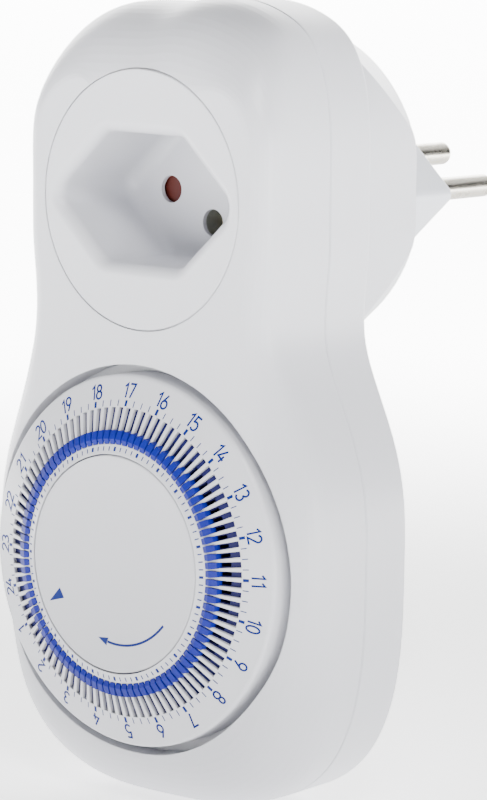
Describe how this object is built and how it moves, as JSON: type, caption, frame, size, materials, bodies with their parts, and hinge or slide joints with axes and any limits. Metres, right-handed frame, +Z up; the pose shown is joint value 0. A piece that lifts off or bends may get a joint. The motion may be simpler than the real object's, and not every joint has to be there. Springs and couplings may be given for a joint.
{
  "type": "programmable timer",
  "caption": "Plug-in mains timer: three-pin plug behind, recessed three-hole socket above, and a 24 hour segment dial below that turns and switches the socket.",
  "frame": {"origin": "centre of the plug's flat end face, midway between the two live pins", "axes": "+Z up, -Y out of the front with the dial, +Y along the plug pins into the wall, +X to the right seen from the front"},
  "size_m": [0.0714, 0.0851, 0.1354],
  "materials": {
    "case_plastic": "smooth satin white plastic",
    "socket_plastic": "smooth satin white plastic",
    "plug_plastic": "smooth satin white plastic",
    "dial_plastic": "satin white plastic with blue print",
    "cap_plastic": "matte light grey white plastic with blue print",
    "segment_plastic": "blue plastic",
    "carrier_plastic": "dark navy plastic",
    "pin_nickel": "nickel plated brass",
    "contact_brass": "rolled brass",
    "contact_silver": "silver alloy",
    "steel": "bright steel",
    "plate_steel": "zinc plated sheet steel",
    "movement_plastic": "natural acetal plastic",
    "insulator": "grey heat resistant plastic",
    "shutter_plastic": "red brown plastic",
    "lever_plastic": "natural plastic",
    "coil_copper": "enamelled copper wire",
    "magnet": "ferrite magnet",
    "lead_insulation": "insulated wire"
  },
  "bodies": {
    "housing": {"front_shell": "case_plastic", "rear_shell": "case_plastic", "housing_screws": "steel", "plug_body": "plug_plastic", "line_pin": "pin_nickel", "neutral_pin": "pin_nickel", "earth_pin": "pin_nickel", "socket_insert": "socket_plastic", "contact_carrier": "insulator", "line_receptacle": "contact_brass", "neutral_receptacle": "contact_brass", "earth_receptacle": "contact_brass", "neutral_bar": "contact_brass", "earth_bar": "contact_brass", "hub_cap": "cap_plastic", "front_plate": "plate_steel", "dial_post": "movement_plastic", "dial_clip": "steel", "rear_plate": "plate_steel", "plate_pillars": "steel", "pillar_screws": "steel", "movement_screws": "steel", "gear_arbors": "steel", "motor_case": "plate_steel", "coil_bobbin": "insulator", "motor_coil": "coil_copper", "motor_terminal": "insulator", "line_bar_in": "contact_brass", "line_bar_out": "contact_brass", "line_lead": "lead_insulation", "neutral_lead": "lead_insulation", "lever_pin": "steel", "switch_base": "insulator", "fixed_blade": "contact_brass", "fixed_contact": "contact_silver", "shutter_spring": "steel"},
    "dial": {"dial_ring": "dial_plastic", "dial_gear": "carrier_plastic", "segments": "segment_plastic"},
    "output": {"output_pinion": "movement_plastic", "clutch_spring": "steel"},
    "clutch": {"clutch_wheel": "movement_plastic"},
    "second": {"second_wheel": "movement_plastic"},
    "third": {"third_wheel": "movement_plastic"},
    "rotor": {"rotor_shaft": "steel", "rotor_magnet": "magnet"},
    "lever": {"switch_lever": "lever_plastic"},
    "blade": {"moving_blade": "contact_brass", "moving_contact": "contact_silver"},
    "socket_shutter": {"shutter": "shutter_plastic"},
    "segment_1": {"moving_segment_1": "segment_plastic"},
    "segment_2": {"moving_segment_2": "segment_plastic"},
    "segment_3": {"moving_segment_3": "segment_plastic"},
    "segment_4": {"moving_segment_4": "segment_plastic"},
    "segment_5": {"moving_segment_5": "segment_plastic"},
    "segment_6": {"moving_segment_6": "segment_plastic"},
    "segment_7": {"moving_segment_7": "segment_plastic"},
    "segment_8": {"moving_segment_8": "segment_plastic"}
  },
  "joints": [
    {"name": "dial_turn", "type": "hinge", "parent": "housing", "child": "dial", "pos_m": [0, -0.06, -0.0587], "axis": [0, 1, 0], "continuous": true},
    {"name": "output_turn", "type": "hinge", "parent": "housing", "child": "output", "pos_m": [0.01379, -0.05, -0.04713], "axis": [0, 1, 0], "continuous": true},
    {"name": "clutch_turn", "type": "hinge", "parent": "housing", "child": "clutch", "pos_m": [0.01379, -0.0476, -0.04713], "axis": [0, 1, 0], "continuous": true},
    {"name": "second_turn", "type": "hinge", "parent": "housing", "child": "second", "pos_m": [0.00016, -0.045, -0.05209], "axis": [0, 1, 0], "continuous": true},
    {"name": "third_turn", "type": "hinge", "parent": "housing", "child": "third", "pos_m": [-0.00497, -0.044, -0.06618], "axis": [0, 1, 0], "continuous": true},
    {"name": "rotor_turn", "type": "hinge", "parent": "housing", "child": "rotor", "pos_m": [-0.01906, -0.04, -0.07131], "axis": [0, 1, 0], "continuous": true},
    {"name": "lever_swing", "type": "hinge", "parent": "housing", "child": "lever", "pos_m": [-0.02905, -0.051, -0.0536], "axis": [0, 1, 0], "range_deg": [0, 3], "stiffness_Nm_per_rad": 0.02},
    {"name": "blade_bend", "type": "hinge", "parent": "housing", "child": "blade", "pos_m": [-0.0134, -0.052, -0.0153], "axis": [0, -1, 0], "range_deg": [0, 6.9]},
    {"name": "shutter_lift", "type": "slide", "parent": "housing", "child": "socket_shutter", "axis": [0, 0, 1], "range_m": [0, 0.0052], "stiffness_N_per_m": 60, "springref_m": -0.001, "deforming": ["shutter_spring"]},
    {"name": "segment_slide_1", "type": "slide", "parent": "dial", "child": "segment_1", "axis": [-0.8936, 0.347, -0.2848], "range_m": [0, 0.00309]},
    {"name": "segment_slide_2", "type": "slide", "parent": "dial", "child": "segment_2", "axis": [-0.4305, 0.347, -0.8332], "range_m": [0, 0.00309]},
    {"name": "segment_slide_3", "type": "slide", "parent": "dial", "child": "segment_3", "axis": [0.2848, 0.347, -0.8936], "range_m": [0, 0.00309]},
    {"name": "segment_slide_4", "type": "slide", "parent": "dial", "child": "segment_4", "axis": [0.8332, 0.347, -0.4305], "range_m": [0, 0.00309]},
    {"name": "segment_slide_5", "type": "slide", "parent": "dial", "child": "segment_5", "axis": [0.8936, 0.347, 0.2848], "range_m": [0, 0.00309]},
    {"name": "segment_slide_6", "type": "slide", "parent": "dial", "child": "segment_6", "axis": [0.4305, 0.347, 0.8332], "range_m": [0, 0.00309]},
    {"name": "segment_slide_7", "type": "slide", "parent": "dial", "child": "segment_7", "axis": [-0.2848, 0.347, 0.8936], "range_m": [0, 0.00309]},
    {"name": "segment_slide_8", "type": "slide", "parent": "dial", "child": "segment_8", "axis": [-0.8332, 0.347, 0.4305], "range_m": [0, 0.00309]}
  ],
  "couplings": [
    {"joint": "output_turn", "follows": "dial_turn", "ratio": -5},
    {"joint": "second_turn", "follows": "clutch_turn", "ratio": -4.8},
    {"joint": "third_turn", "follows": "clutch_turn", "ratio": 24},
    {"joint": "rotor_turn", "follows": "clutch_turn", "ratio": -120},
    {"joint": "blade_bend", "follows": "lever_swing", "ratio": 2.3}
  ]
}
